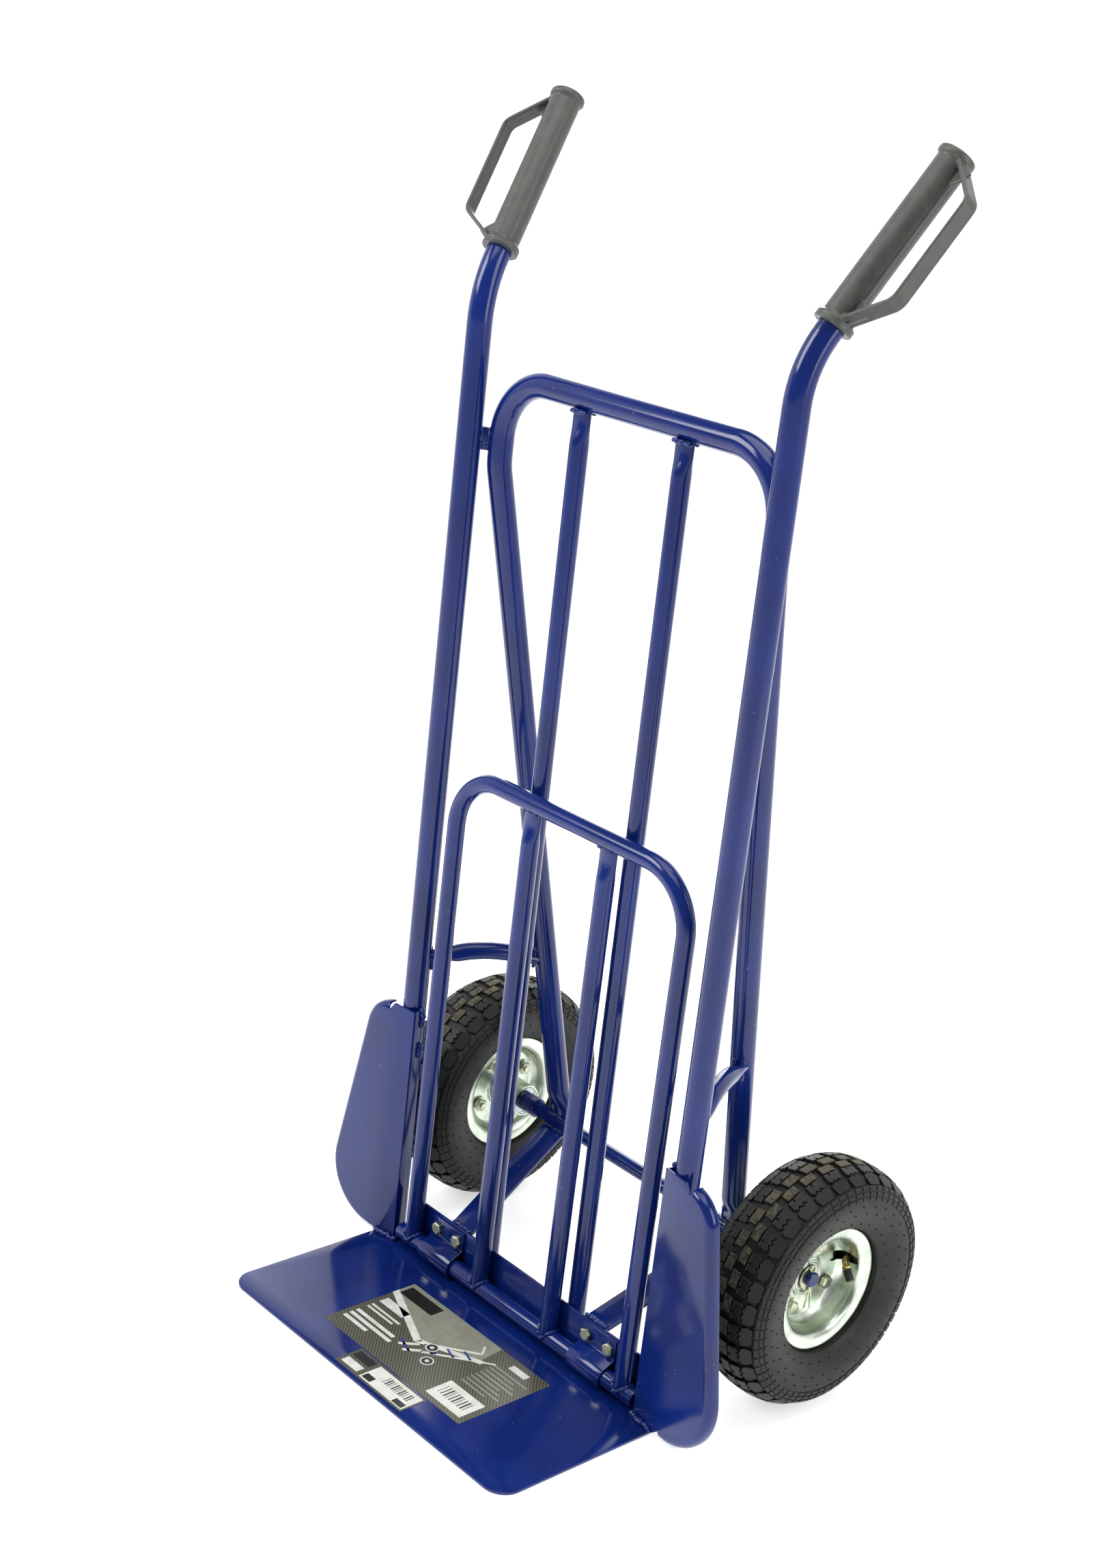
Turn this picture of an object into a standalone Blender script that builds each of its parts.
"""Two-wheeled hand truck with a folding extension frame, built as separate named pieces.

Frame: X runs across the truck, -Y is the toe-plate side, +Z is up, and the floor is z = 0.
The origin is under the middle of the truck's outer box. Lengths are in metres.
"""

import math

import bmesh
import bpy
from mathutils import Matrix, Vector

# Stock sizes
MAIN_TUBE = 0.0254
SLIM_TUBE = 0.0190
AXLE_ROD = 0.0160
TOE_SHEET = 0.0030
GUARD_SHEET = 0.0025
STRAP_SHEET = 0.0025
FLAT_BAR = 0.0040
MAIN_WALL = 0.0016
SLIM_WALL = 0.0014
GAP = 0.0003

# Layout: Y values are measured back from the hinge tube's axis
TOE_REACH = 0.2040
WHEEL_SETBACK = 0.1700
TYRE_RADIUS = 0.1300
UPRIGHT_SETBACK = 0.0060
HOOP_SETBACK = 0.0300
HINGE_Y = (TOE_REACH - WHEEL_SETBACK - TYRE_RADIUS) / 2
UPRIGHT_Y = HINGE_Y + UPRIGHT_SETBACK
HOOP_Y = HINGE_Y + HOOP_SETBACK
WHEEL_Y = HINGE_Y + WHEEL_SETBACK

# Uprights and grips
UPRIGHT_X = 0.2115
UPRIGHT_HEIGHT = 1.0455
UPRIGHT_BEND = 0.1150
GRIP_RAKE = math.radians(32.9)
GRIP_SPLAY = math.radians(9.4)
GRIP_START = 0.0408
GRIP_LENGTH = 0.1790
GRIP_CAP = 0.0050
GRIP_RADIUS = 0.0155
COLLAR_RADIUS = 0.0188
COLLAR_LENGTH = 0.0075
RIM_RADIUS = 0.0178
RIM_LENGTH = 0.0070
GUARD_REACH = 0.0600
GUARD_TURN = math.radians(-10.0)
GUARD_WIDTH = 0.0160
GUARD_THICKNESS = 0.0040
GUARD_BEND = 0.0120

# Brace hoop, slats and struts
HOOP_X = 0.1895
HOOP_HEIGHT = 0.9630
HOOP_CORNER = 0.0620
KNEE_HEIGHT = 0.8740
KNEE_BEND = 0.0800
LEG_FOOT_X = 0.1354
SPACER_HEIGHT = 0.8990
SPACER_LENGTH = 0.0230
SPACER_WIDTH = 0.0090
SLAT_X = 0.0697
SLAT_FOOT = 0.0060
STRUT_HEIGHT = 0.3350
STRUT_RISE = 0.0050
FLAT_END = 0.0340
FLAT_THICKNESS = 0.0085
FLAT_WIDEN = 1.26

# Toe plate
HINGE_HEIGHT = 0.0161
HINGE_TOP = HINGE_HEIGHT + SLIM_TUBE / 2
TOE_HALF_WIDTH = 0.2235
TOE_CORNER = 0.0240
TOE_BEND = 0.0045
UPSTAND_HEIGHT = HINGE_TOP + 0.0306
UPSTAND_HALF_WIDTH = 0.1900

# Folding frame
HINGE_HALF_LENGTH = 0.1900
HINGE_CLEARANCE = 0.0010
FOLD_X = 0.1695
FOLD_HEIGHT = 0.5632
FOLD_CORNER = 0.0600
BAR_X = 0.0557

# Hinge straps and their bolts
STRAP_X = 0.1215
STRAP_WIDTH = 0.0500
STRAP_CLEARANCE = 0.0005
STRAP_TOP = HINGE_TOP + 0.0290
STRAP_SLOPE = math.radians(25.0)
STRAP_WRAP = math.radians(115.0)
BOLT_SPACING = 0.0330
BOLT_HEIGHT = HINGE_TOP + 0.0169
BOLT_RADIUS = 0.0040
BOLT_CLEARANCE = 0.0003
HEX_FLATS = 0.0130
HEAD_HEIGHT = 0.0050
NUT_HEIGHT = 0.0060
BOLT_TAIL = 0.0025

# Wheel guards: places are measured outwards from the upright's axis
GUARD_PLATE_BASE = 0.0012
GUARD_PLATE_TOP = 0.2800
GUARD_PLATE_SHOULDER = 0.2690
GUARD_PLATE_TOP_REACH = 0.0530
GUARD_PLATE_FOOT_REACH = 0.1054
GUARD_PLATE_LOW_CORNER = 0.0650
GUARD_PLATE_TOP_CORNER = 0.0360
GUARD_FLANGE = 0.0130
GUARD_FLANGE_BEND = 0.0080
GUARD_FLANGE_START = 0.0100
GUARD_YAW = math.radians(6.0)

# Axle and its flat supports
AXLE_HALF_LENGTH = 0.2530
AXLE_SHOULDER_RADIUS = 0.0110
AXLE_SHOULDER_LENGTH = 0.0220
SUPPORT_WIDTH = 0.0320
SUPPORT_LOW_X = 0.1080
SUPPORT_HIGH_X = 0.1380
SUPPORT_LIP = 0.0200

# Wheels: H is measured outwards from the tyre's middle plane
WHEEL_X = 0.2460
TYRE_HALF_WIDTH = 0.0425
RIM_HALF_WIDTH = 0.0266
FLANGE_RADIUS = 0.0670
BEAD_RADIUS = 0.0525
RIM_SHEET = 0.0016
DISC_H = -0.0060
DISC_RADIUS = 0.0450
HUB_OUTER_H = -0.0010
HUB_INNER_H = -0.0520
HUB_RADIUS = 0.0185
BEARING_RADIUS = 0.0160
BEARING_WIDTH = 0.0090
BEARING_FIT = 0.00020
TYRE_WALL = 0.0060
INNER_TUBE_WALL = 0.0018
RIM_BOLT_CIRCLE = 0.0350
RIM_BOLT_ANGLE = math.radians(63.0)
RIM_BOLTS = 4
VALVE_ANGLE = math.radians(14.0)
VALVE_RADIUS = 0.0032
VALVE_CAP_RADIUS = 0.0045
VALVE_SLOT = 0.0022
WASHER_RADIUS = 0.0135
WASHER_THICKNESS = 0.0020
COTTER_RADIUS = 0.0016
COTTER_LENGTH = 0.0420
COTTER_INSET = 0.0035
TYRE_STEPS = 28
RIM_STEPS = 24
SMALL_STEPS = 16

TUBE_SIDES = 10
CUT_SIDES = 16
ARC_STEP = math.radians(18.0)
SIDES = {"left": -1.0, "right": 1.0}

PAINT = ("blue_powder_coat", (0.012, 0.025, 0.145), 0.0, 0.22)
GRIP = ("grey_grip_plastic", (0.115, 0.120, 0.100), 0.0, 0.42)
ZINC = ("zinc_plated_steel", (0.72, 0.73, 0.66), 1.0, 0.28)
RUBBER = ("black_tyre_rubber", (0.022, 0.022, 0.020), 0.0, 0.75)
BUTYL = ("butyl_inner_tube", (0.015, 0.015, 0.015), 0.0, 0.60)
BEARING = ("bearing_steel", (0.55, 0.56, 0.58), 1.0, 0.20)
BRASS = ("brass_valve", (0.60, 0.42, 0.15), 1.0, 0.30)

MAIN_R = MAIN_TUBE / 2
SLIM_R = SLIM_TUBE / 2
AXLE_R = AXLE_ROD / 2
UPSTAND_FRONT = HINGE_Y + SLIM_R + HINGE_CLEARANCE
UPSTAND_BACK = UPSTAND_FRONT + TOE_SHEET
SLAT_Y = UPSTAND_BACK + GAP + SLIM_R
FLOOR_OF_FRAME = TOE_SHEET + GAP
UP = Vector((0.0, 0.0, 1.0))


# ---------------------------------------------------------------- scene helpers


def clear_scene():
    """Remove every object, so that the script starts from nothing."""
    for obj in list(bpy.data.objects):
        bpy.data.objects.remove(obj, do_unlink=True)


def new_collection(name):
    """A collection linked to the scene."""
    collection = bpy.data.collections.new(name)
    bpy.context.scene.collection.children.link(collection)
    return collection


def material(finish):
    """The Principled material of a finish, made once."""
    name, colour, metallic, roughness = finish
    found = bpy.data.materials.get(name)
    if found:
        return found
    made = bpy.data.materials.new(name)
    made.use_nodes = True
    shader = made.node_tree.nodes["Principled BSDF"]
    shader.inputs["Base Color"].default_value = (*colour, 1.0)
    shader.inputs["Metallic"].default_value = metallic
    shader.inputs["Roughness"].default_value = roughness
    made.diffuse_color = (*colour, 1.0)
    return made


def place(obj, finish, parent=None):
    """Put a finished piece in the truck's collection, under its parent."""
    PARTS.objects.link(obj)
    obj.data.materials.append(material(finish))
    if parent:
        obj.parent = parent
    return obj


def as_cutter(obj, parent=None):
    """Put a helper solid among the cutters, out of every render."""
    CUTTERS.objects.link(obj)
    obj.hide_render = True
    obj.display_type = "WIRE"
    if parent:
        obj.parent = parent
    return obj


def boolean(obj, other, operation):
    """Cut `other` from the piece, or join it to the piece."""
    modifier = obj.modifiers.new(f"{operation}_{other.name}", "BOOLEAN")
    modifier.operation = operation
    modifier.object = other
    modifier.solver = "EXACT"


def bmesh_object(name, bm, smooth=True):
    """An object from a bmesh, with its faces pointing out."""
    bmesh.ops.recalc_face_normals(bm, faces=bm.faces)
    mesh = bpy.data.meshes.new(name)
    bm.to_mesh(mesh)
    bm.free()
    if smooth:
        mesh.shade_smooth()
        mesh.set_sharp_from_angle(angle=math.radians(35.0))
    return bpy.data.objects.new(name, mesh)


def mesh_of_curve(curve_object, is_open=False):
    """The mesh of a curve object, with any caps welded on; the curve is removed."""
    bpy.context.scene.collection.objects.link(curve_object)
    graph = bpy.context.evaluated_depsgraph_get()
    mesh = bpy.data.meshes.new_from_object(curve_object.evaluated_get(graph))
    obj = bpy.data.objects.new(curve_object.name, mesh)
    obj.matrix_world = curve_object.matrix_world
    name = curve_object.name
    bpy.data.objects.remove(curve_object, do_unlink=True)
    obj.name = name
    bm = bmesh.new()
    bm.from_mesh(mesh)
    bmesh.ops.remove_doubles(bm, verts=bm.verts, dist=1e-6)
    if not is_open:
        bmesh.ops.recalc_face_normals(bm, faces=bm.faces)
    bm.to_mesh(mesh)
    bm.free()
    mesh.shade_smooth()
    mesh.set_sharp_from_angle(angle=math.radians(35.0))
    mesh.materials.clear()
    return obj


# ---------------------------------------------------------------- shape helpers


def mirrored(side, x, y, z):
    """A point given for the right-hand side, on the side asked for."""
    return Vector((side * x, y, z))


def corner_halves(points):
    """Half the angle between the two runs that meet at each inner point of a path."""
    triples = zip(points, points[1:], points[2:])
    return [(before - here).angle(after - here) / 2 for before, here, after in triples]


def corner_runs(points, radii):
    """How far back from each point its arc starts, shortened where the runs are too short."""
    halves = corner_halves(points)
    runs = [0.0, *(radius / math.tan(half) for radius, half in zip(radii[1:-1], halves)), 0.0]
    scales = [1.0] * len(points)
    for index in range(len(points) - 1):
        length = 0.98 * (points[index + 1] - points[index]).length
        total = runs[index] + runs[index + 1]
        if total > length:
            scales[index] = min(scales[index], length / total)
            scales[index + 1] = min(scales[index + 1], length / total)
    return [run * scale for run, scale in zip(runs, scales)], halves


def rounded(corners, step_angle=ARC_STEP):
    """Points along a path of (point, radius) corners, each turned through an arc."""
    points = [Vector(point) for point, _ in corners]
    runs, halves = corner_runs(points, [radius for _, radius in corners])
    path = [points[0]]
    for index, half in enumerate(halves, 1):
        corner, run = points[index], runs[index]
        turn = math.pi - 2 * half
        if run <= 0.0 or turn < math.radians(0.5):
            path.append(corner)
            continue
        back = (points[index - 1] - corner).normalized()
        ahead = (points[index + 1] - corner).normalized()
        centre = corner + (back + ahead).normalized() * run / math.cos(half)
        spoke = corner + back * run - centre
        normal = back.cross(ahead)
        steps = max(2, round(turn / step_angle))
        for step in range(steps + 1):
            path.append(centre + Matrix.Rotation(-turn * step / steps, 3, normal) @ spoke)
    return [*path, points[-1]]


def bent_rod(name, points, radius, sides=TUBE_SIDES, is_open=False):
    """A round rod along points, or only its skin when its ends are left open."""
    curve = bpy.data.curves.new(name, "CURVE")
    curve.dimensions = "3D"
    curve.bevel_depth = radius
    curve.bevel_resolution = (sides - 4) // 2
    curve.use_fill_caps = not is_open
    spline = curve.splines.new("POLY")
    spline.points.add(len(points) - 1)
    for spot, point in zip(spline.points, points):
        spot.co = (*point, 1.0)
    return mesh_of_curve(bpy.data.objects.new(name, curve), is_open)


def tube(name, points, radius, wall):
    """A hollow round tube along points, open at both ends."""
    obj = bent_rod(name, points, radius, is_open=True)
    add_wall(obj, wall)
    return obj


def add_wall(obj, thickness):
    """Thicken a surface into sheet, on the side away from its normals."""
    solidify = obj.modifiers.new("wall", "SOLIDIFY")
    solidify.thickness = thickness
    solidify.offset = -1.0
    solidify.use_even_offset = True


def cutter_radius(radius, sides=CUT_SIDES):
    """The radius of a cutter of so many sides that clears a round rod by the gap."""
    return (radius + GAP) / math.cos(math.pi / sides)


def flatten_end(obj, tip, inward, thin, thickness, radius, length=FLAT_END):
    """Squeeze the last stretch of a tube along `thin`, as a press does before welding."""
    inward = Vector(inward).normalized()
    thin = Vector(thin).normalized()
    wide = inward.cross(thin).normalized()
    for vertex in obj.data.vertices:
        offset = vertex.co - Vector(tip)
        along = offset.dot(inward)
        if along > length or offset.length > 2 * length:
            continue
        share = min(1.0, max(0.0, 1.6 * (1.0 - along / length)))
        blend = share * share * (3.0 - 2.0 * share)
        squeeze = 1.0 + blend * (thickness / (2 * radius) - 1.0)
        widen = 1.0 + blend * (FLAT_WIDEN - 1.0)
        side = offset.dot(thin)
        across = offset.dot(wide)
        vertex.co += thin * side * (squeeze - 1.0) + wide * across * (widen - 1.0)


def end_rings(tip, inward, length=FLAT_END, rings=4):
    """Points that give a tube's end enough rings to be flattened, from the tip inwards."""
    inward = Vector(inward).normalized()
    return [Vector(tip) + inward * length * step / rings for step in range(rings + 1)]


def rod(name, start, end, radius, sides=TUBE_SIDES):
    """A straight round rod between two points."""
    start, end = Vector(start), Vector(end)
    axis = end - start
    turn = axis.to_track_quat("Z", "X").to_matrix().to_4x4()
    bm = bmesh.new()
    bmesh.ops.create_cone(
        bm,
        cap_ends=True,
        segments=sides,
        radius1=radius,
        radius2=radius,
        depth=axis.length,
        matrix=Matrix.Translation((start + end) / 2) @ turn,
    )
    return bmesh_object(name, bm)


def block(name, low, high):
    """A box between two corners."""
    low, high = Vector(low), Vector(high)
    size = high - low
    bm = bmesh.new()
    scale = Matrix.Diagonal((*size, 1.0))
    bmesh.ops.create_cube(bm, size=1.0, matrix=Matrix.Translation((low + high) / 2) @ scale)
    return bmesh_object(name, bm, smooth=False)


def flat_shape(name, outline, thickness):
    """A flat sheet of an outline in its own XY plane, lying from z = 0 to z = thickness."""
    curve = bpy.data.curves.new(name, "CURVE")
    curve.dimensions = "2D"
    curve.fill_mode = "BOTH"
    curve.extrude = thickness / 2
    spline = curve.splines.new("POLY")
    spline.points.add(len(outline) - 1)
    spline.use_cyclic_u = True
    for spot, (x, y) in zip(spline.points, outline):
        spot.co = (x, y, 0.0, 1.0)
    obj = mesh_of_curve(bpy.data.objects.new(name, curve))
    obj.data.transform(Matrix.Translation((0.0, 0.0, thickness / 2)))
    return obj


def profile_across(name, outline, centre_x, width):
    """An outline in (y, z), extruded along X about centre_x."""
    obj = flat_shape(name, outline, width)
    turn = Matrix(((0.0, 0.0, 1.0), (1.0, 0.0, 0.0), (0.0, 1.0, 0.0))).to_4x4()
    obj.data.transform(Matrix.Translation((centre_x - width / 2, 0.0, 0.0)) @ turn)
    return obj


def thick_line(points, thickness):
    """The outline of a strip of a thickness whose middle runs along points."""
    left, right = [], []
    for index, point in enumerate(points):
        before = points[max(index - 1, 0)]
        after = points[min(index + 1, len(points) - 1)]
        ahead = (after - point).normalized() if after != point else (point - before).normalized()
        behind = (point - before).normalized() if point != before else ahead
        middle = (ahead + behind).normalized()
        normal = Vector((-middle.y, middle.x))
        reach = thickness / 2 / max(0.5, normal.dot(Vector((-ahead.y, ahead.x))))
        left.append(point + normal * reach)
        right.append(point - normal * reach)
    return [tuple(point) for point in left + right[::-1]]


def turned(name, profile, steps=SMALL_STEPS):
    """A turned piece: a closed (radius, height) profile spun about the local Z axis."""
    area = sum(
        a[0] * b[1] - b[0] * a[1] for a, b in zip(profile, profile[1:] + profile[:1])
    )
    if area > 0.0:
        profile = profile[::-1]
    mesh = bpy.data.meshes.new(name)
    count = len(profile)
    edges = [(index, (index + 1) % count) for index in range(count)]
    mesh.from_pydata([(radius, 0.0, height) for radius, height in profile], edges, [])
    obj = bpy.data.objects.new(name, mesh)
    screw = obj.modifiers.new("spin", "SCREW")
    screw.axis = "Z"
    screw.steps = steps
    screw.render_steps = steps
    screw.use_merge_vertices = True
    screw.merge_threshold = 0.00001
    return obj


def hexagon_prism(name, start, end, flats):
    """A hexagonal head or nut between two points on its axis."""
    return rod(name, start, end, flats / math.sqrt(3.0), sides=6)


# ---------------------------------------------------------------- uprights and grips


def grip_direction(side):
    """The direction of a grip's axis, upwards, backwards and outwards."""
    level = math.cos(GRIP_SPLAY)
    return mirrored(
        side,
        math.sin(GRIP_SPLAY),
        level * math.sin(GRIP_RAKE),
        level * math.cos(GRIP_RAKE),
    )


def grip_point(side, distance):
    """A point on a grip's axis, by its distance from the sleeve's lower end."""
    bend = mirrored(side, UPRIGHT_X, UPRIGHT_Y, UPRIGHT_HEIGHT)
    return bend + grip_direction(side) * (GRIP_START + distance)


def make_upright(label, side):
    """A side tube from the toe plate to inside the grip's closed end."""
    corners = [
        (mirrored(side, UPRIGHT_X, UPRIGHT_Y, FLOOR_OF_FRAME), 0.0),
        (mirrored(side, UPRIGHT_X, UPRIGHT_Y, UPRIGHT_HEIGHT), UPRIGHT_BEND),
        (grip_point(side, GRIP_LENGTH - GRIP_CAP - GAP), 0.0),
    ]
    place(tube(f"{label}_upright", rounded(corners), MAIN_R, MAIN_WALL), PAINT)


def guard_path(side):
    """The middle line of the hand guard, from the lower collar round to the top rim."""
    axis = grip_direction(side)
    outward = Vector((side, 0.0, 0.0))
    outward = (outward - axis * outward.dot(axis)).normalized()
    turn = Matrix.Rotation(GUARD_TURN * side, 3, axis)
    outward = turn @ outward
    reach = GUARD_REACH - GUARD_THICKNESS / 2
    inside = GRIP_RADIUS - 0.003
    stations = [
        (0.0085, inside, 0.0),
        (0.0380, reach, GUARD_BEND),
        (0.1400, reach, GUARD_BEND),
        (0.1715, inside, 0.0),
    ]
    corners = [
        (grip_point(side, along) + outward * out, radius) for along, out, radius in stations
    ]
    return rounded(corners), axis.cross(outward).normalized()


def ribbon(name, points, width_axis, width, thickness):
    """A flat strap of a width and thickness along points, as a closed mesh."""
    bm = bmesh.new()
    rings = []
    for index, point in enumerate(points):
        before = points[max(index - 1, 0)]
        after = points[min(index + 1, len(points) - 1)]
        normal = (after - before).normalized().cross(width_axis).normalized()
        across = width_axis * width / 2
        out = normal * thickness / 2
        front, back = point - across, point + across
        corners = (front - out, back - out, back + out, front + out)
        rings.append([bm.verts.new(corner) for corner in corners])
    for ring, following in zip(rings, rings[1:]):
        for index in range(4):
            other = (index + 1) % 4
            bm.faces.new((ring[index], ring[other], following[other], following[index]))
    bm.faces.new(rings[0])
    bm.faces.new(rings[-1])
    return bmesh_object(name, bm, smooth=False)


def make_grip(label, side):
    """A moulded sleeve with a collar, a rolled rim and a hand guard in one piece."""
    name = f"{label}_grip"
    sleeve = rod(name, grip_point(side, 0.0), grip_point(side, GRIP_LENGTH), GRIP_RADIUS, 16)
    collar = rod(
        f"{name}_collar",
        grip_point(side, -0.0005),
        grip_point(side, COLLAR_LENGTH),
        COLLAR_RADIUS,
        16,
    )
    rim = rod(
        f"{name}_rim",
        grip_point(side, GRIP_LENGTH - RIM_LENGTH),
        grip_point(side, GRIP_LENGTH + 0.0005),
        RIM_RADIUS,
        16,
    )
    points, width_axis = guard_path(side)
    guard = ribbon(f"{name}_guard", points, width_axis, GUARD_WIDTH, GUARD_THICKNESS)
    bore = rod(
        f"{name}_bore",
        grip_point(side, -0.0200),
        grip_point(side, GRIP_LENGTH - GRIP_CAP),
        cutter_radius(MAIN_R),
        CUT_SIDES,
    )
    place(sleeve, GRIP)
    for other in (collar, rim, guard):
        boolean(sleeve, as_cutter(other), "UNION")
    boolean(sleeve, as_cutter(bore), "DIFFERENCE")


# ---------------------------------------------------------------- brace hoop, slats, struts


def leg_foot(side):
    """Where the middle of a hoop leg's flattened end stands, just above the axle."""
    lift = AXLE_R + GAP + 0.0015
    return mirrored(side, LEG_FOOT_X, WHEEL_Y, TYRE_RADIUS + lift)


def leg_knee(side):
    """The corner where a hoop leg turns back, below the hoop's top corner."""
    return mirrored(side, HOOP_X, HOOP_Y, KNEE_HEIGHT)


def leg_direction(side):
    """The direction up a hoop leg."""
    return (leg_knee(side) - leg_foot(side)).normalized()


def leg_point(side, height):
    """The point on a hoop leg's axis at a height."""
    foot, knee = leg_foot(side), leg_knee(side)
    return foot.lerp(knee, (height - foot.z) / (knee.z - foot.z))


def hoop_corners(side):
    """The corners of one half of the hoop, from its knee to its top."""
    return [(leg_knee(side), KNEE_BEND), (mirrored(side, HOOP_X, HOOP_Y, HOOP_HEIGHT), HOOP_CORNER)]


def make_brace_hoop():
    """The inverted U behind the uprights, whose legs run back and down to the axle."""
    left = end_rings(leg_foot(-1.0), leg_direction(-1.0))
    right = end_rings(leg_foot(1.0), leg_direction(1.0))
    corners = [(left[-1], 0.0), *hoop_corners(-1.0), *reversed(hoop_corners(1.0)), (right[-1], 0.0)]
    points = left[:-1] + rounded(corners) + right[-2::-1]
    hoop = tube("brace_hoop", points, MAIN_R, MAIN_WALL)
    for side in SIDES.values():
        squeeze = leg_direction(side).cross(Vector((1.0, 0.0, 0.0)))
        flatten_end(hoop, leg_foot(side), leg_direction(side), squeeze, FLAT_THICKNESS, MAIN_R)
    place(hoop, PAINT)


def make_hoop_spacer(label, side):
    """A short welded stub that fills the narrow gap between an upright and the hoop."""
    upright = mirrored(side, UPRIGHT_X, UPRIGHT_Y, SPACER_HEIGHT)
    hoop = mirrored(side, HOOP_X, HOOP_Y, SPACER_HEIGHT)
    across = (hoop - upright).normalized()
    angle = math.atan2(across.y, across.x)
    middle = (upright + hoop) / 2
    half = (hoop - upright).length / 2
    stub = block(
        f"{label}_hoop_spacer",
        (-half, -SPACER_WIDTH / 2, -SPACER_LENGTH / 2),
        (half, SPACER_WIDTH / 2, SPACER_LENGTH / 2),
    )
    stub.data.transform(Matrix.Translation(middle) @ Matrix.Rotation(angle, 4, "Z"))
    place(stub, PAINT)
    reach = UP * SPACER_LENGTH
    wide = cutter_radius(MAIN_R)
    around_upright = rod(f"{label}_spacer_cut_1", upright - reach, upright + reach, wide, CUT_SIDES)
    around_hoop = bent_rod(f"{label}_spacer_cut_2", rounded(hoop_path_near(side)), wide, CUT_SIDES)
    for cutter in (around_upright, around_hoop):
        boolean(stub, as_cutter(cutter), "DIFFERENCE")


def hoop_path_near(side):
    """The hoop's path beside one upright, for cutting what meets it."""
    low = (leg_point(side, HOOP_HEIGHT * 0.6), 0.0)
    knee, corner = hoop_corners(side)
    return [low, knee, corner, (Vector((0.0, HOOP_Y, HOOP_HEIGHT)), 0.0)]


def make_back_slat(label, side):
    """A vertical slim tube from behind the upstand, coped to the underside of the hoop."""
    foot = mirrored(side, SLAT_X, SLAT_Y, SLAT_FOOT)
    top = mirrored(side, SLAT_X, SLAT_Y, HOOP_HEIGHT - MAIN_R * 0.4)
    path = [foot, *reversed(end_rings(top, -UP))]
    slat = tube(f"{label}_back_slat", path, SLIM_R, SLIM_WALL)
    flatten_end(slat, top, -UP, (0.0, 1.0, 0.0), FLAT_THICKNESS, SLIM_R)
    place(slat, PAINT)
    middle = Vector((side * SLAT_X, HOOP_Y, HOOP_HEIGHT))
    reach = Vector((2 * SLIM_TUBE, 0.0, 0.0))
    wide = cutter_radius(MAIN_R)
    around_hoop = rod(f"{label}_slat_cut", middle - reach, middle + reach, wide, CUT_SIDES)
    boolean(slat, as_cutter(around_hoop), "DIFFERENCE")


def make_strut(label, side):
    """An arched slim tube with flattened ends, from an upright to the hoop leg behind it."""
    start = mirrored(side, UPRIGHT_X, UPRIGHT_Y, STRUT_HEIGHT)
    end = leg_point(side, STRUT_HEIGHT)
    across = Vector((end.x - start.x, end.y - start.y, 0.0)).normalized()
    first = start + across * (MAIN_R / 2)
    last = end - across * (MAIN_R / 2)
    crest = (first + last) / 2 + UP * 2 * STRUT_RISE
    middle = [
        first.lerp(crest, share).lerp(crest.lerp(last, share), share)
        for share in (0.35, 0.5, 0.65)
    ]
    head = end_rings(first, across, FLAT_END, 3)
    tail = end_rings(last, -across, FLAT_END, 3)
    path = [*head, *middle, *reversed(tail)]
    strut = tube(f"{label}_strut", path, SLIM_R, SLIM_WALL)
    squeeze = across.cross(UP)
    flatten_end(strut, first, across, squeeze, FLAT_THICKNESS, SLIM_R)
    flatten_end(strut, last, -across, squeeze, FLAT_THICKNESS, SLIM_R)
    place(strut, PAINT)
    reach = 2 * FLAT_WIDEN * SLIM_TUBE
    tall = UP * reach
    wide = cutter_radius(MAIN_R)
    around_upright = rod(f"{label}_strut_cut_1", start - tall, start + tall, wide, CUT_SIDES)
    low = leg_point(side, STRUT_HEIGHT - reach)
    high = leg_point(side, STRUT_HEIGHT + reach)
    around_leg = rod(f"{label}_strut_cut_2", low, high, wide, CUT_SIDES)
    for cutter in (around_upright, around_leg):
        boolean(strut, as_cutter(cutter), "DIFFERENCE")


# ---------------------------------------------------------------- toe plate and guards


def toe_outline():
    """The flat plate's outline: rounded front corners, and room for the uprights behind."""
    front = HINGE_Y - TOE_REACH
    heel = UPRIGHT_Y + MAIN_R
    crease = UPSTAND_BACK - 2 * TOE_BEND - TOE_SHEET
    half = TOE_HALF_WIDTH
    inner = UPSTAND_HALF_WIDTH
    corners = [
        (Vector((-half, heel, 0.0)), 0.0),
        (Vector((-half, front, 0.0)), TOE_CORNER),
        (Vector((half, front, 0.0)), TOE_CORNER),
        (Vector((half, heel, 0.0)), 0.0),
    ]
    outline = [(point.x, point.y) for point in rounded(corners)]
    return [*outline, (inner, heel), (inner, crease), (-inner, crease), (-inner, heel)]


def upstand_profile():
    """The section of the turned-up rear edge, with the flat it grows from."""
    middle = (UPSTAND_FRONT + UPSTAND_BACK) / 2
    corners = [
        (Vector((UPSTAND_BACK - 6 * TOE_BEND, TOE_SHEET / 2, 0.0)), 0.0),
        (Vector((middle, TOE_SHEET / 2, 0.0)), TOE_BEND),
        (Vector((middle, UPSTAND_HEIGHT, 0.0)), 0.0),
    ]
    return thick_line([Vector((point.x, point.y)) for point in rounded(corners)], TOE_SHEET)


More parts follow.
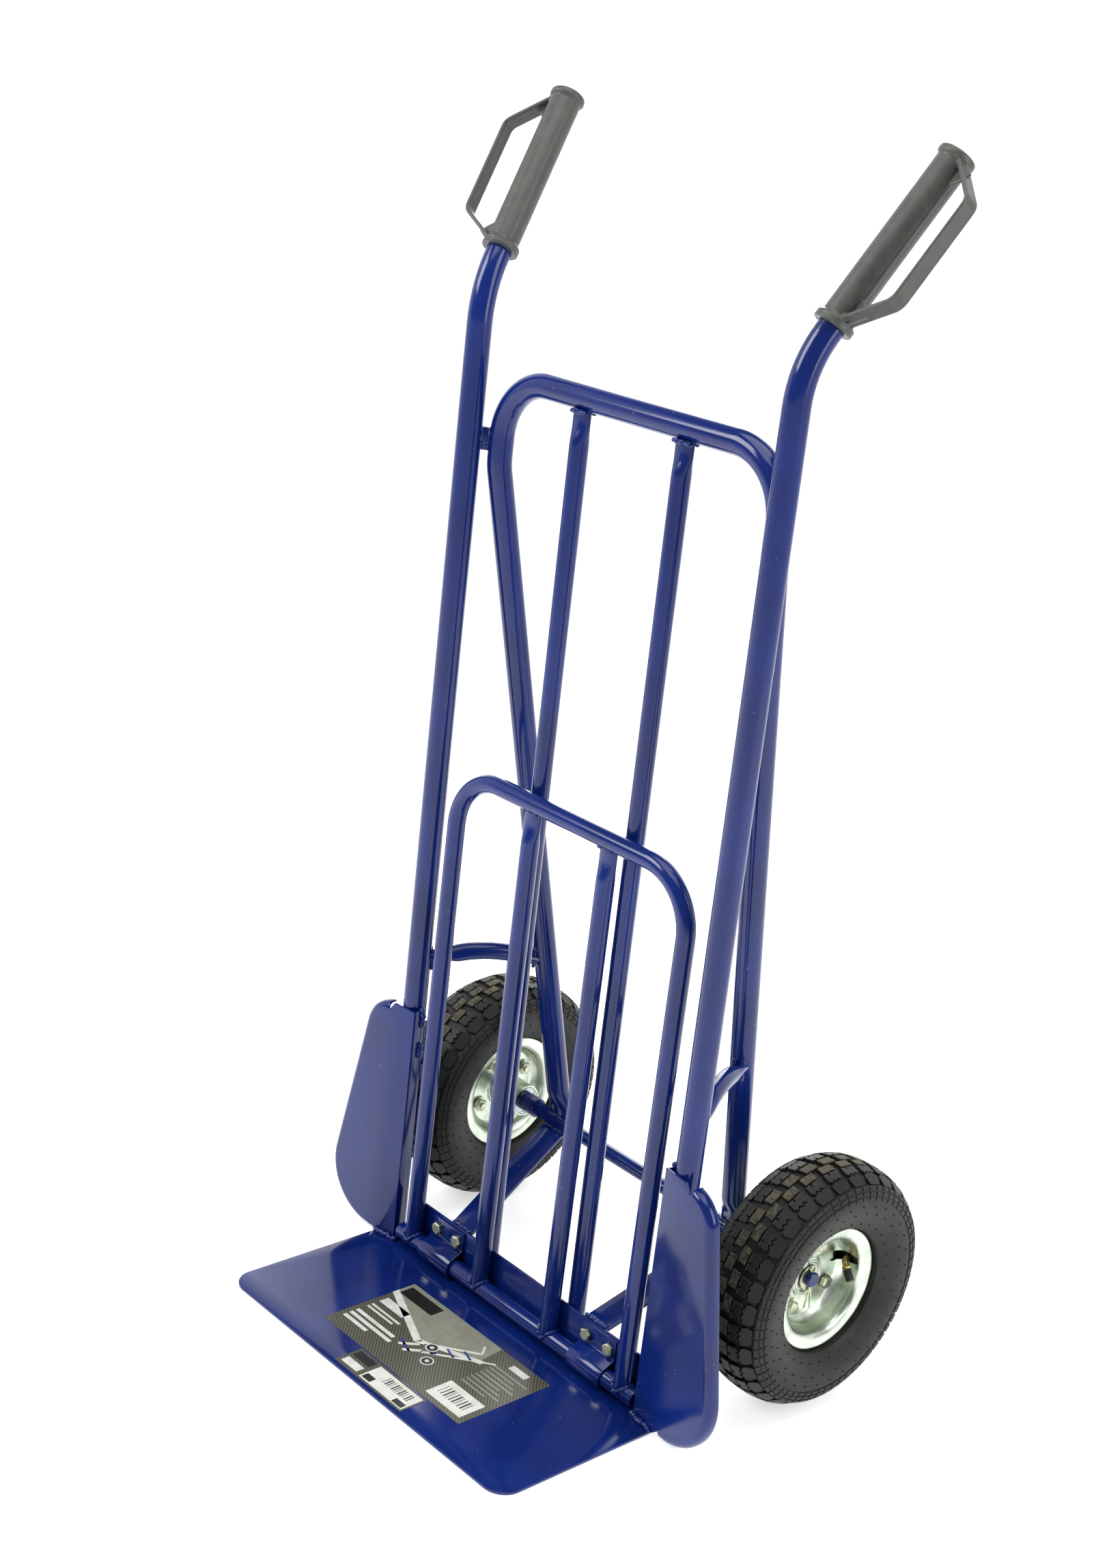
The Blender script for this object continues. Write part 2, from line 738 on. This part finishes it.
def make_toe_plate():
    """The load plate, with its rear edge turned up between the uprights."""
    plate = flat_shape("toe_plate", toe_outline(), TOE_SHEET)
    place(plate, PAINT)
    upstand = profile_across("toe_upstand", upstand_profile(), 0.0, 2 * UPSTAND_HALF_WIDTH)
    boolean(plate, as_cutter(upstand), "UNION")
    for index, (x, _) in enumerate(bolt_places()):
        reach = 2 * TOE_SHEET
        hole = rod(
            f"upstand_hole_{index + 1}",
            (x, UPSTAND_FRONT - reach, BOLT_HEIGHT),
            (x, UPSTAND_BACK + reach, BOLT_HEIGHT),
            BOLT_RADIUS + BOLT_CLEARANCE,
        )
        boolean(plate, as_cutter(hole), "DIFFERENCE")


def guard_face():
    """How far the guard's front face stands in front of the upright's axis."""
    return MAIN_R + GAP + GUARD_SHEET


def guard_outline():
    """The guard's turned edge and its straight corners, as (outwards, z) points."""
    inner = -guard_face()
    beside_plate = TOE_HALF_WIDTH - UPRIGHT_X + 2 * GAP
    on_plate = (beside_plate + guard_face() * math.sin(GUARD_YAW)) / math.cos(GUARD_YAW)
    slope = (GUARD_PLATE_TOP - GUARD_PLATE_SHOULDER) / (GUARD_PLATE_TOP_REACH - MAIN_R)
    fall = slope * GUARD_FLANGE_START
    corners = [
        (Vector((MAIN_R + GUARD_SHEET + GUARD_FLANGE_START, GUARD_PLATE_TOP - fall, 0.0)), 0.0),
        (Vector((GUARD_PLATE_TOP_REACH, GUARD_PLATE_SHOULDER, 0.0)), GUARD_PLATE_TOP_CORNER),
        (Vector((GUARD_PLATE_FOOT_REACH, GUARD_PLATE_BASE, 0.0)), GUARD_PLATE_LOW_CORNER),
        (Vector((on_plate + GUARD_FLANGE_START, GUARD_PLATE_BASE, 0.0)), 0.0),
    ]
    edge = [Vector((point.x, point.y)) for point in rounded(corners, ARC_STEP * 2 / 3)]
    straight = [
        Vector((on_plate, GUARD_PLATE_BASE)),
        Vector((on_plate, FLOOR_OF_FRAME)),
        Vector((MAIN_R, FLOOR_OF_FRAME)),
        Vector((inner, FLOOR_OF_FRAME)),
        Vector((inner, GUARD_PLATE_TOP)),
        Vector((MAIN_R, GUARD_PLATE_TOP)),
        Vector((MAIN_R + GUARD_SHEET, GUARD_PLATE_TOP)),
    ]
    return edge, straight


def inset(edge, distance):
    """The points of an open edge moved inwards, at right angles to it."""
    moved = []
    for index, point in enumerate(edge):
        before = edge[max(index - 1, 0)]
        after = edge[min(index + 1, len(edge) - 1)]
        along = (after - before).normalized()
        moved.append(point + Vector((along.y, -along.x)) * distance)
    return moved


def make_wheel_guard(label, side):
    """A pressed D-shaped wing: a flat face, a turned outer edge, and a lip along the upright."""
    edge, straight = guard_outline()
    bend = GUARD_FLANGE_BEND
    diagonal = bend * (1.0 - math.sqrt(0.5))
    levels = [(bend, 0.0), (diagonal, diagonal), (0.0, bend), (0.0, GUARD_FLANGE)]
    bm = bmesh.new()
    rings = [
        [bm.verts.new((side * p.x, depth, p.y)) for p in inset(edge, distance)]
        for distance, depth in levels
    ]
    flat = [bm.verts.new((side * p.x, 0.0, p.y)) for p in straight]
    bm.faces.new(rings[0] + flat[:3] + flat[5:])
    bm.faces.new(flat[2:6])
    for ring, following in zip(rings, rings[1:]):
        bm.faces.new((flat[-1], ring[0], following[0]))
        bm.faces.new((ring[-1], flat[0], following[-1]))
        for index in range(len(ring) - 1):
            bm.faces.new((ring[index], ring[index + 1], following[index + 1], following[index]))
    lip = [bm.verts.new((side * p.x, GUARD_FLANGE, p.y)) for p in straight[3:5]]
    bm.faces.new((flat[3], flat[4], lip[1], lip[0]))
    guard = bmesh_object(f"{label}_wheel_guard", bm)
    turn = Matrix.Rotation(-side * GUARD_YAW, 4, "Z")
    at_upright = Matrix.Translation((side * UPRIGHT_X, UPRIGHT_Y, 0.0))
    guard.data.transform(at_upright @ turn @ Matrix.Translation((0.0, -guard_face(), 0.0)))
    add_wall(guard, GUARD_SHEET)
    place(guard, PAINT)


# ---------------------------------------------------------------- folding frame and hinge


def fold_lean():
    """How far the folded-up frame leans back before it rests on the slats."""
    rest = SLAT_Y - SLIM_TUBE - GAP - HINGE_Y
    return math.atan2(rest, FOLD_HEIGHT - HINGE_HEIGHT)


def make_fold_axis():
    """An empty on the hinge tube's axis, leaning as the folded-up frame does."""
    empty = bpy.data.objects.new("folding_frame_axis", None)
    PARTS.objects.link(empty)
    empty.location = (0.0, HINGE_Y, HINGE_HEIGHT)
    empty.rotation_euler = (-fold_lean(), 0.0, 0.0)
    return empty


def make_folding_frame():
    """The extension frame: hinge tube, hoop and two bars, in the hinge's own frame."""
    axis = make_fold_axis()
    half = Vector((HINGE_HALF_LENGTH, 0.0, 0.0))
    place(tube("hinge_tube", [-half, half], SLIM_R, SLIM_WALL), PAINT, axis)
    around_hinge = rod("hinge_tube_cut", -half, half, cutter_radius(SLIM_R), CUT_SIDES)
    as_cutter(around_hinge, axis)
    height = FOLD_HEIGHT - HINGE_HEIGHT
    foot = SLIM_R / 2
    corners = [
        (Vector((-FOLD_X, 0.0, foot)), 0.0),
        (Vector((-FOLD_X, 0.0, height)), FOLD_CORNER),
        (Vector((FOLD_X, 0.0, height)), FOLD_CORNER),
        (Vector((FOLD_X, 0.0, foot)), 0.0),
    ]
    hoop = tube("folding_hoop", rounded(corners), SLIM_R, SLIM_WALL)
    place(hoop, PAINT, axis)
    boolean(hoop, around_hinge, "DIFFERENCE")
    for label, side in SIDES.items():
        low = Vector((side * BAR_X, 0.0, foot))
        high = Vector((side * BAR_X, 0.0, height - SLIM_R - GAP))
        path = [low, *reversed(end_rings(high, -UP))]
        bar = tube(f"{label}_folding_bar", path, SLIM_R, SLIM_WALL)
        flatten_end(bar, high, -UP, (0.0, 1.0, 0.0), FLAT_THICKNESS, SLIM_R)
        place(bar, PAINT, axis)
        boolean(bar, around_hinge, "DIFFERENCE")


def bolt_places():
    """The X of each strap bolt, and the side that it is on."""
    return [
        (side * STRAP_X + offset, side)
        for side in SIDES.values()
        for offset in (-BOLT_SPACING / 2, BOLT_SPACING / 2)
    ]


def make_hinge_strap(label, side):
    """A sheet saddle over the hinge tube, with a flat tab bolted to the upstand."""
    radius = SLIM_R + STRAP_CLEARANCE + STRAP_SHEET / 2
    tab_y = UPSTAND_FRONT - GAP - STRAP_SHEET / 2 - HINGE_Y
    leave = math.pi / 2 + STRAP_SLOPE
    arc = []
    for step in range(9):
        angle = leave + STRAP_WRAP * (1.0 - step / 8)
        arc.append(Vector((radius * math.cos(angle), radius * math.sin(angle))))
    rise = (tab_y - arc[-1].x) * math.tan(STRAP_SLOPE)
    crease = Vector((tab_y, arc[-1].y + rise))
    top = Vector((tab_y, STRAP_TOP - HINGE_HEIGHT))
    outline = thick_line([*arc, crease, top], STRAP_SHEET)
    outline = [(y + HINGE_Y, z + HINGE_HEIGHT) for y, z in outline]
    strap = profile_across(f"{label}_hinge_strap", outline, side * STRAP_X, STRAP_WIDTH)
    place(strap, PAINT)
    for index, (x, where) in enumerate(bolt_places()):
        if where != side:
            continue
        hole = rod(
            f"{label}_strap_hole_{index + 1}",
            (x, UPSTAND_FRONT - 3 * STRAP_SHEET, BOLT_HEIGHT),
            (x, UPSTAND_FRONT + STRAP_SHEET, BOLT_HEIGHT),
            BOLT_RADIUS + BOLT_CLEARANCE,
        )
        boolean(strap, as_cutter(hole), "DIFFERENCE")


def make_hinge_bolts():
    """A hex bolt and its nut at each strap hole."""
    head_face = UPSTAND_FRONT - 2 * GAP - STRAP_SHEET
    nut_face = UPSTAND_BACK + GAP
    for index, (x, _) in enumerate(bolt_places()):
        number = index + 1
        name = f"hinge_bolt_{number}"
        head = hexagon_prism(
            name, (x, head_face - HEAD_HEIGHT, BOLT_HEIGHT), (x, head_face, BOLT_HEIGHT), HEX_FLATS
        )
        tail = nut_face + NUT_HEIGHT + BOLT_TAIL
        shank = rod(
            f"{name}_shank",
            (x, head_face - HEAD_HEIGHT / 2, BOLT_HEIGHT),
            (x, tail, BOLT_HEIGHT),
            BOLT_RADIUS,
        )
        place(head, ZINC)
        boolean(head, as_cutter(shank), "UNION")
        nut = hexagon_prism(
            f"hinge_nut_{number}",
            (x, nut_face, BOLT_HEIGHT),
            (x, nut_face + NUT_HEIGHT, BOLT_HEIGHT),
            HEX_FLATS,
        )
        place(nut, ZINC)
        thread = rod(
            f"hinge_nut_{number}_thread",
            (x, nut_face - NUT_HEIGHT, BOLT_HEIGHT),
            (x, nut_face + 2 * NUT_HEIGHT, BOLT_HEIGHT),
            BOLT_RADIUS + BOLT_CLEARANCE,
        )
        boolean(nut, as_cutter(thread), "DIFFERENCE")


# ---------------------------------------------------------------- axle and its supports


def make_axle():
    """The axle rod, with a welded shoulder inboard of each wheel."""
    shoulder_end = WHEEL_X + HUB_INNER_H - GAP
    shoulder_start = shoulder_end - AXLE_SHOULDER_LENGTH
    shoulder = AXLE_SHOULDER_RADIUS
    half = [
        (0.0, AXLE_HALF_LENGTH),
        (AXLE_R, AXLE_HALF_LENGTH),
        (AXLE_R, shoulder_end),
        (shoulder, shoulder_end),
        (shoulder, shoulder_start),
        (AXLE_R, shoulder_start),
    ]
    profile = half + [(radius, -height) for radius, height in reversed(half)]
    mesh = bpy.data.meshes.new("axle")
    edges = [(index, index + 1) for index in range(len(profile) - 1)]
    mesh.from_pydata([(radius, 0.0, height) for radius, height in profile], edges, [])
    axle = bpy.data.objects.new("axle", mesh)
    screw = axle.modifiers.new("spin", "SCREW")
    screw.axis = "Z"
    screw.steps = 16
    screw.render_steps = 16
    screw.use_merge_vertices = True
    screw.merge_threshold = 0.00001
    axle.rotation_euler = (0.0, math.pi / 2, 0.0)
    axle.location = (0.0, WHEEL_Y, TYRE_RADIUS)
    place(axle, PAINT)
    for label, side in SIDES.items():
        x = side * (AXLE_HALF_LENGTH - COTTER_INSET)
        reach = UP * 2 * AXLE_R
        centre = Vector((x, WHEEL_Y, TYRE_RADIUS))
        radius = COTTER_RADIUS + GAP
        hole = rod(f"{label}_cotter_hole", centre - reach, centre + reach, radius, 8)
        boolean(axle, as_cutter(hole), "DIFFERENCE")


def make_axle_support(label, side):
    """A flat bar from the back of the upstand up to the underside of the axle."""
    half = FLAT_BAR / 2
    low = Vector((UPSTAND_BACK + GAP, UPSTAND_HEIGHT - half))
    high = Vector((WHEEL_Y, TYRE_RADIUS - AXLE_R - GAP - half))
    line = [
        low,
        low + Vector((FLAT_BAR, 0.0)),
        high - Vector((SUPPORT_LIP / 2, 0.0)),
        high + Vector((SUPPORT_LIP / 2, 0.0)),
    ]
    outline = thick_line(line, FLAT_BAR)
    bar = profile_across(f"{label}_axle_support", outline, 0.0, SUPPORT_WIDTH)
    slant = (SUPPORT_HIGH_X - SUPPORT_LOW_X) / (high.x - low.x)
    for vertex in bar.data.vertices:
        vertex.co.x += side * (SUPPORT_LOW_X + slant * (vertex.co.y - low.x))
    place(bar, PAINT)


# ---------------------------------------------------------------- wheels


def make_wheel_axis(label, side):
    """An empty at a wheel's centre, whose local Z points outwards along the axle."""
    empty = bpy.data.objects.new(f"{label}_wheel_axis", None)
    PARTS.objects.link(empty)
    empty.location = (side * WHEEL_X, WHEEL_Y, TYRE_RADIUS)
    empty.rotation_euler = (0.0, side * math.pi / 2, 0.0)
    return empty


def around_wheel(angle, radius, height):
    """A point in a wheel's own frame, by its angle up from the back of the truck."""
    return Vector((-radius * math.sin(angle), radius * math.cos(angle), height))


def tyre_profile():
    """The tyre's section: crown, shoulders, sidewalls and beads around an open channel."""
    outer = [
        (TYRE_RADIUS, 0.0160),
        (TYRE_RADIUS - 0.0060, 0.0320),
        (TYRE_RADIUS - 0.0160, TYRE_HALF_WIDTH - 0.0030),
        (TYRE_RADIUS - 0.0300, TYRE_HALF_WIDTH),
        (TYRE_RADIUS - 0.0480, TYRE_HALF_WIDTH - 0.0035),
        (FLANGE_RADIUS + 0.0010, RIM_HALF_WIDTH + 0.0040),
        (FLANGE_RADIUS + 0.0010, RIM_HALF_WIDTH - 0.0035),
        (BEAD_RADIUS + 0.0080, RIM_HALF_WIDTH - 0.0045),
        (BEAD_RADIUS + 2 * GAP, RIM_HALF_WIDTH - 0.0065),
    ]
    inner = [
        (BEAD_RADIUS + 2 * GAP, RIM_HALF_WIDTH - 0.0150),
        (FLANGE_RADIUS, RIM_HALF_WIDTH - 0.0090),
        (TYRE_RADIUS - 0.0460, TYRE_HALF_WIDTH - 0.0035 - TYRE_WALL),
        (TYRE_RADIUS - 0.0250, TYRE_HALF_WIDTH - 0.0020 - TYRE_WALL),
        (TYRE_RADIUS - 0.0135, 0.0200),
    ]
    half = outer + inner
    return half + [(radius, -height) for radius, height in reversed(half)]


def rim_profile(outward):
    """A pressed rim half's section, on the outer or the inner side of the split."""
    face = DISC_H + outward * GAP / 2
    lip = outward * RIM_HALF_WIDTH
    sheet = RIM_SHEET
    upper = [
        (HUB_RADIUS + 2 * GAP, face),
        (DISC_RADIUS, face),
        (BEAD_RADIUS, face + outward * 0.0065),
        (BEAD_RADIUS, lip - outward * 0.0050),
        (BEAD_RADIUS + 0.0075, lip - outward * 0.0022),
        (FLANGE_RADIUS - 0.0030, lip - outward * 0.0010),
        (FLANGE_RADIUS, lip - outward * 0.0030),
    ]
    lower = [
        (FLANGE_RADIUS, lip + outward * (sheet - 0.0038)),
        (FLANGE_RADIUS - 0.0024, lip + outward * (sheet - 0.0010)),
        (BEAD_RADIUS + 0.0070, lip + outward * (sheet - 0.0022)),
        (BEAD_RADIUS - sheet, lip - outward * 0.0030),
        (BEAD_RADIUS - sheet, face + outward * (0.0065 + sheet)),
        (DISC_RADIUS - sheet * 0.6, face + outward * sheet),
        (HUB_RADIUS + 2 * GAP, face + outward * sheet),
    ]
    return upper + lower


def ring_profile(inner, outer, low, high):
    """The square section of a plain ring."""
    return [(inner, low), (outer, low), (outer, high), (inner, high)]


def valve_points():
    """The valve stem's middle line, from inside the tyre out through the rim."""
    side_step = Vector((0.0118, 0.0, 0.0))
    start = around_wheel(VALVE_ANGLE, BEAD_RADIUS + 0.0060, DISC_H + 0.0110)
    bend = around_wheel(VALVE_ANGLE, BEAD_RADIUS - 0.0085, DISC_H + 0.0135)
    end = around_wheel(VALVE_ANGLE, BEAD_RADIUS - 0.0130, DISC_H + 0.0270) + side_step
    return start, bend, end


def make_inner_tube(label, axis):
    """The inflated tube, open where the valve stem passes through its wall."""
    half = [
        (TYRE_RADIUS - 0.0160, 0.0),
        (TYRE_RADIUS - 0.0190, 0.0200),
        (TYRE_RADIUS - 0.0310, TYRE_HALF_WIDTH - TYRE_WALL - 0.0045),
        (FLANGE_RADIUS + 0.0060, RIM_HALF_WIDTH - 0.0060),
        (BEAD_RADIUS + 0.0035, 0.0080),
    ]
    profile = half + [(radius, -height) for radius, height in half[:0:-1]]
    inner_tube = turned(f"{label}_inner_tube", profile, 20)
    add_wall(inner_tube, INNER_TUBE_WALL)
    place(inner_tube, BUTYL, axis)
    start, bend, _ = valve_points()
    inward = (bend - start).normalized()
    hole = rod(f"{label}_tube_hole", start - inward * 0.004, bend, VALVE_RADIUS + GAP, 10)
    boolean(inner_tube, as_cutter(hole, axis), "DIFFERENCE")


def make_rim(label, axis):
    """The two pressed halves of the rim, bolted together at the disc."""
    start, bend, end = valve_points()
    for which, outward in (("outer", 1.0), ("inner", -1.0)):
        rim = turned(f"{label}_{which}_rim", rim_profile(outward), RIM_STEPS)
        place(rim, ZINC, axis)
        for index in range(RIM_BOLTS):
            centre = rim_bolt_centre(index)
            reach = Vector((0.0, 0.0, 3 * RIM_SHEET))
            name = f"{label}_{which}_rim_hole_{index + 1}"
            hole = rod(name, centre - reach, centre + reach, BOLT_RADIUS + BOLT_CLEARANCE, 8)
            boolean(rim, as_cutter(hole, axis), "DIFFERENCE")
        if outward > 0.0:
            path = rounded([(start, 0.0), (bend, 0.006), (end, 0.0)], 3)
            slot = bent_rod(f"{label}_valve_slot", path, VALVE_RADIUS + VALVE_SLOT, 12)
            boolean(rim, as_cutter(slot, axis), "DIFFERENCE")


def rim_bolt_centre(index):
    """The centre of a rim bolt, in the split plane."""
    angle = RIM_BOLT_ANGLE + index * 2 * math.pi / RIM_BOLTS
    return around_wheel(angle, RIM_BOLT_CIRCLE, DISC_H)


def make_rim_bolts(label, axis):
    """The bolts that hold the rim halves together, each with its nut run on."""
    clear = RIM_SHEET + 1.5 * GAP
    for index in range(RIM_BOLTS):
        name = f"{label}_rim_bolt_{index + 1}"
        centre = rim_bolt_centre(index)
        outer = centre + UP * clear
        inner = centre - UP * clear
        head = hexagon_prism(name, outer, outer + UP * HEAD_HEIGHT, HEX_FLATS)
        nut = hexagon_prism(f"{name}_nut", inner - UP * NUT_HEIGHT, inner, HEX_FLATS)
        low = inner - UP * (NUT_HEIGHT + BOLT_TAIL)
        shank = rod(f"{name}_shank", low, outer + UP * HEAD_HEIGHT / 2, BOLT_RADIUS, 8)
        place(head, ZINC, axis)
        for other in (shank, nut):
            boolean(head, as_cutter(other, axis), "UNION")


def make_hub(label, axis):
    """The hub sleeve, bored for a ball bearing at each end, and the two bearings."""
    hub = turned(
        f"{label}_hub", ring_profile(BEARING_RADIUS + GAP, HUB_RADIUS, HUB_INNER_H, HUB_OUTER_H)
    )
    place(hub, ZINC, axis)
    starts = {"inner": HUB_INNER_H + GAP, "outer": HUB_OUTER_H - BEARING_WIDTH - GAP}
    for which, low in starts.items():
        profile = ring_profile(AXLE_R + BEARING_FIT, BEARING_RADIUS, low, low + BEARING_WIDTH)
        place(turned(f"{label}_{which}_bearing", profile), BEARING, axis)


def make_valve(label, axis):
    """The brass valve stem with its cap screwed on."""
    start, bend, end = valve_points()
    path = rounded([(start, 0.0), (bend, 0.006), (end, 0.0)], 3)
    stem = bent_rod(f"{label}_valve", path, VALVE_RADIUS)
    place(stem, BRASS, axis)
    outward = (end - bend).normalized()
    cap = rod(f"{label}_valve_cap", end - outward * 0.009, end + outward * 0.003, VALVE_CAP_RADIUS, 10)
    boolean(stem, as_cutter(cap, axis), "UNION")


def make_axle_end(label, side):
    """The washer that keeps a wheel on, and the split pin through the axle's end."""
    low = HUB_OUTER_H + GAP
    washer = turned(
        f"{label}_washer",
        ring_profile(AXLE_R + BEARING_FIT, WASHER_RADIUS, low, low + WASHER_THICKNESS),
    )
    washer.location = (side * WHEEL_X, WHEEL_Y, TYRE_RADIUS)
    washer.rotation_euler = (0.0, side * math.pi / 2, 0.0)
    place(washer, ZINC)
    x = side * (AXLE_HALF_LENGTH - COTTER_INSET)
    centre = Vector((x, WHEEL_Y, TYRE_RADIUS))
    top = centre + UP * (AXLE_R + 0.0045)
    pin = rod(f"{label}_cotter_pin", centre - UP * (COTTER_LENGTH - AXLE_R), top, COTTER_RADIUS, 8)
    place(pin, ZINC)
    eye = turned(
        f"{label}_cotter_eye",
        ring_profile(COTTER_RADIUS, COTTER_RADIUS + 0.0024, -COTTER_RADIUS, COTTER_RADIUS),
        12,
    )
    eye.location = top + UP * 0.0022
    eye.rotation_euler = (0.0, math.pi / 2, 0.0)
    boolean(pin, as_cutter(eye), "UNION")


def make_wheel(label, side):
    """All the pieces of one wheel, under an empty on its axis."""
    axis = make_wheel_axis(label, side)
    place(turned(f"{label}_tyre", tyre_profile(), TYRE_STEPS), RUBBER, axis)
    make_inner_tube(label, axis)
    make_rim(label, axis)
    make_rim_bolts(label, axis)
    make_hub(label, axis)
    make_valve(label, axis)


def build():
    """Make every piece of the truck."""
    make_brace_hoop()
    make_toe_plate()
    make_axle()
    make_folding_frame()
    make_hinge_bolts()
    for label, side in SIDES.items():
        make_upright(label, side)
        make_grip(label, side)
        make_hoop_spacer(label, side)
        make_back_slat(label, side)
        make_strut(label, side)
        make_wheel_guard(label, side)
        make_hinge_strap(label, side)
        make_axle_support(label, side)
        make_axle_end(label, side)
        make_wheel(label, side)


clear_scene()
PARTS = new_collection("hand_truck")
CUTTERS = new_collection("cutters")
build()
